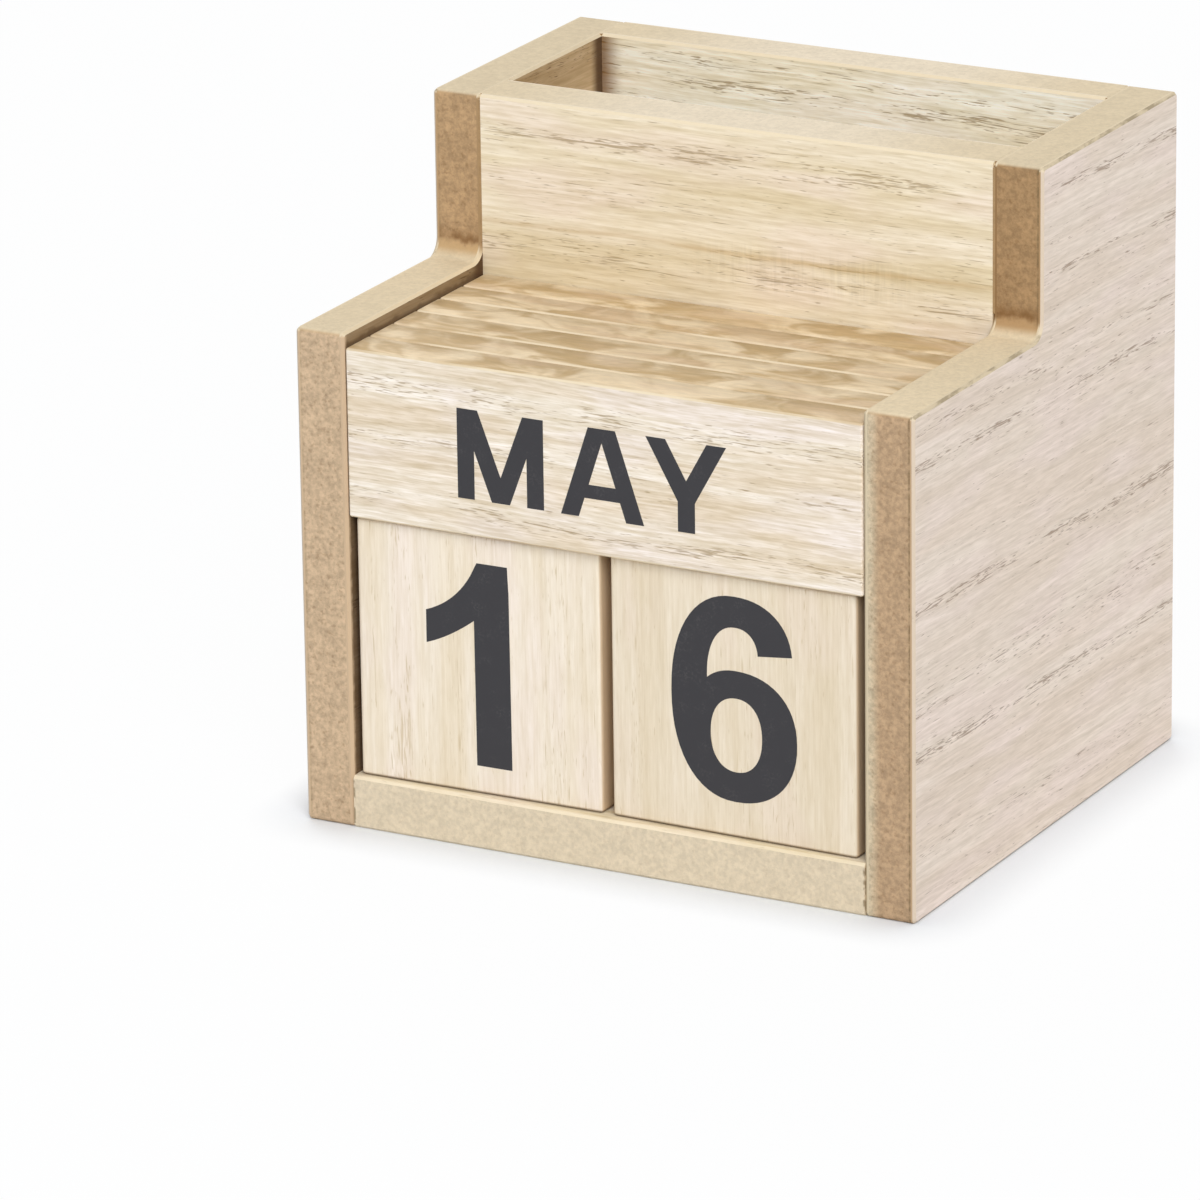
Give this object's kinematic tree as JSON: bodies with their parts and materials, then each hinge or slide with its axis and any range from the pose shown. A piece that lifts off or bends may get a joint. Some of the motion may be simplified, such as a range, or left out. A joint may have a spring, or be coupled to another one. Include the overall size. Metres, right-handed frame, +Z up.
{
  "type": "perpetual desk calendar with pen well",
  "caption": "Wooden perpetual desk calendar: stepped case with number cubes and month plates in a front bay, and an open pen well behind.",
  "frame": {"origin": "middle of the footprint, on the surface that it stands on", "axes": "+X to the right seen from the front, +Y to the back, +Z up"},
  "size_m": [0.075, 0.066, 0.076],
  "materials": {
    "board_core": "raw sanded fibreboard edge, matte",
    "face_veneer": "unfinished pale veneer, matte",
    "cube_wood": "unfinished pale solid wood, matte, printed numerals",
    "plate_wood": "unfinished pale solid wood, matte, printed month names"
  },
  "bodies": {
    "case": {"left_side_core": "board_core", "left_side_outer_veneer": "face_veneer", "left_side_inner_veneer": "face_veneer", "right_side_core": "board_core", "right_side_outer_veneer": "face_veneer", "right_side_inner_veneer": "face_veneer", "base_core": "board_core", "base_bottom_veneer": "face_veneer", "base_top_veneer": "face_veneer", "partition_core": "board_core", "partition_front_veneer": "face_veneer", "partition_rear_veneer": "face_veneer", "back_core": "board_core", "back_inner_veneer": "face_veneer", "back_outer_veneer": "face_veneer"},
    "tens_cube": {"tens_cube": "cube_wood"},
    "units_cube": {"units_cube": "cube_wood"},
    "month_plate_1": {"month_plate_1": "plate_wood"},
    "month_plate_2": {"month_plate_2": "plate_wood"},
    "month_plate_3": {"month_plate_3": "plate_wood"},
    "month_plate_4": {"month_plate_4": "plate_wood"},
    "month_plate_5": {"month_plate_5": "plate_wood"},
    "month_plate_6": {"month_plate_6": "plate_wood"}
  },
  "joints": [
    {"name": "tens_cube_slide", "type": "slide", "parent": "case", "child": "tens_cube", "axis": [0, -1, 0], "range_m": [0, 0.036]},
    {"name": "units_cube_slide", "type": "slide", "parent": "case", "child": "units_cube", "axis": [0, -1, 0], "range_m": [0, 0.036]},
    {"name": "month_plate_1_lift", "type": "slide", "parent": "case", "child": "month_plate_1", "axis": [0, 0, 1], "range_m": [0, 0.026]},
    {"name": "month_plate_2_lift", "type": "slide", "parent": "case", "child": "month_plate_2", "axis": [0, 0, 1], "range_m": [0, 0.026]},
    {"name": "month_plate_3_lift", "type": "slide", "parent": "case", "child": "month_plate_3", "axis": [0, 0, 1], "range_m": [0, 0.026]},
    {"name": "month_plate_4_lift", "type": "slide", "parent": "case", "child": "month_plate_4", "axis": [0, 0, 1], "range_m": [0, 0.026]},
    {"name": "month_plate_5_lift", "type": "slide", "parent": "case", "child": "month_plate_5", "axis": [0, 0, 1], "range_m": [0, 0.026]},
    {"name": "month_plate_6_lift", "type": "slide", "parent": "case", "child": "month_plate_6", "axis": [0, 0, 1], "range_m": [0, 0.026]}
  ]
}
